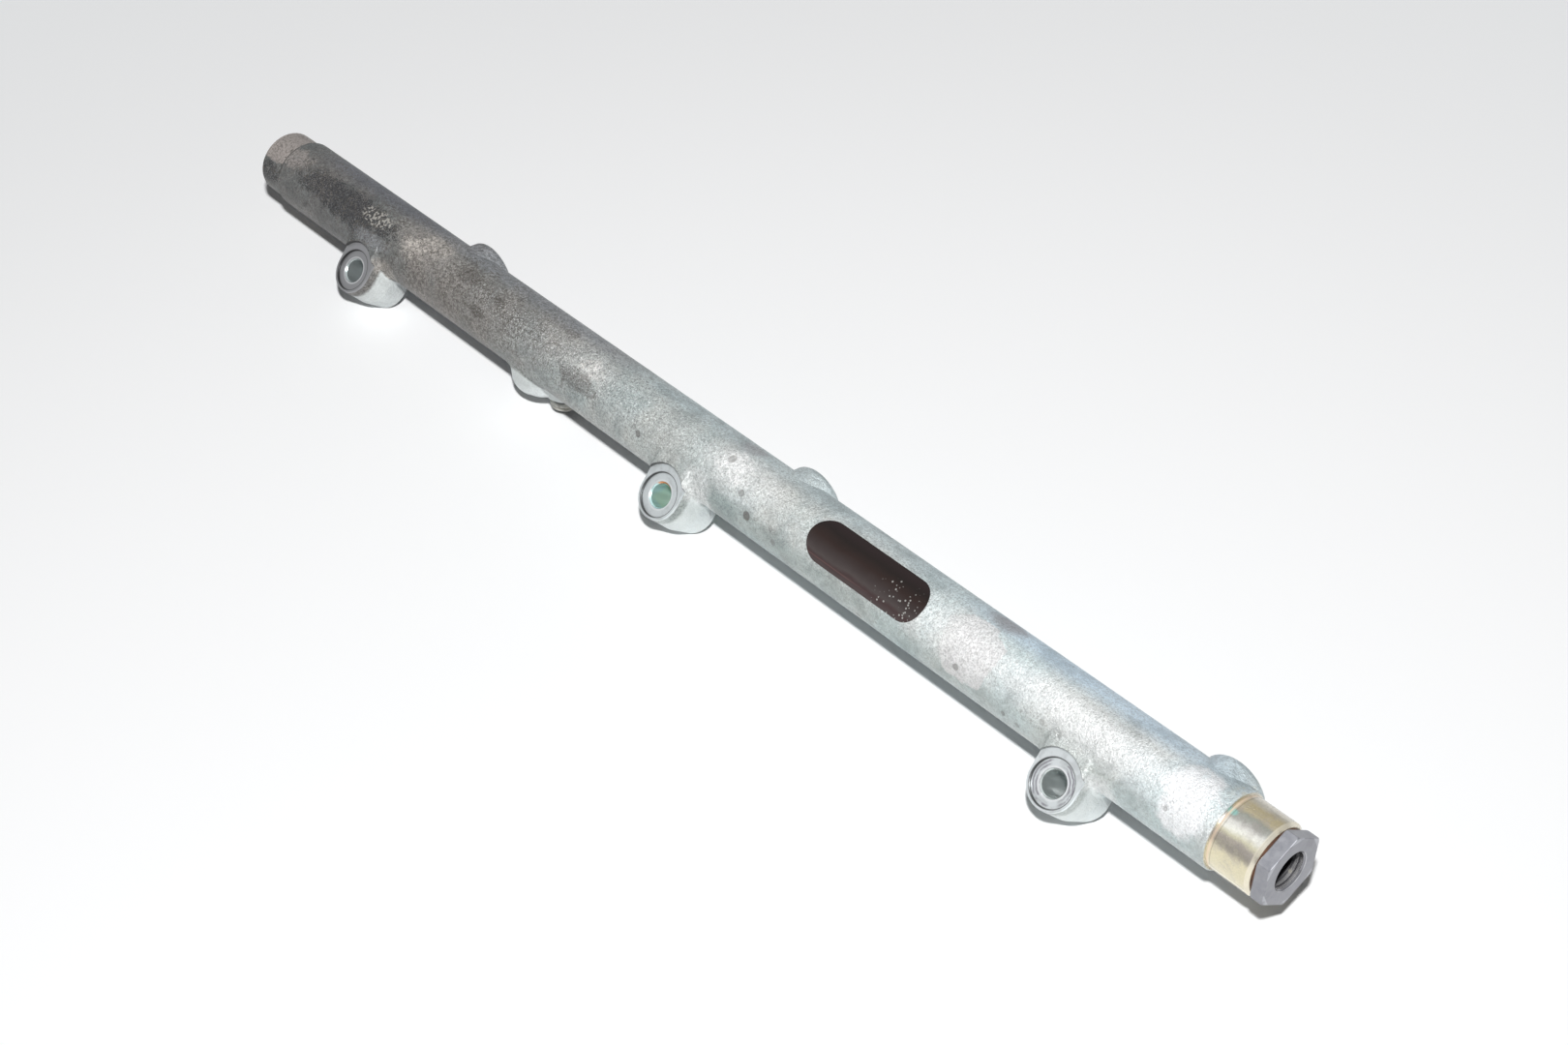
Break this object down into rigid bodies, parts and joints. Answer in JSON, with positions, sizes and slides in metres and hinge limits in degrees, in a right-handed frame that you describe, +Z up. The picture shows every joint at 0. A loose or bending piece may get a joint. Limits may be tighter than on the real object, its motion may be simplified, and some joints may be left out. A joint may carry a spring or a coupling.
{
  "type": "high-pressure fuel rail",
  "caption": "Forged steel fuel rail lying on its lugs and threaded stubs, with recessed bolt lugs, round back pads and a hexagonal end fitting.",
  "frame": {"origin": "centre of the bounding box, on the surface the rail lies on", "axes": "+X along the rail from its closed far end to the end fitting, +Z up, -Y towards the mounting lugs"},
  "size_m": [0.5102, 0.0452, 0.0397],
  "materials": {
    "forged_steel": "worn zinc-plated forging, matt and mottled",
    "phosphated_steel": "satin, bluish grey",
    "washer_metal": "dull, stained reddish brown",
    "label_film": "satin, worn at one end"
  },
  "bodies": {
    "root": {"rail_body": "forged_steel", "end_fitting": "phosphated_steel", "sealing_washer": "washer_metal", "label": "label_film"}
  },
  "joints": []
}
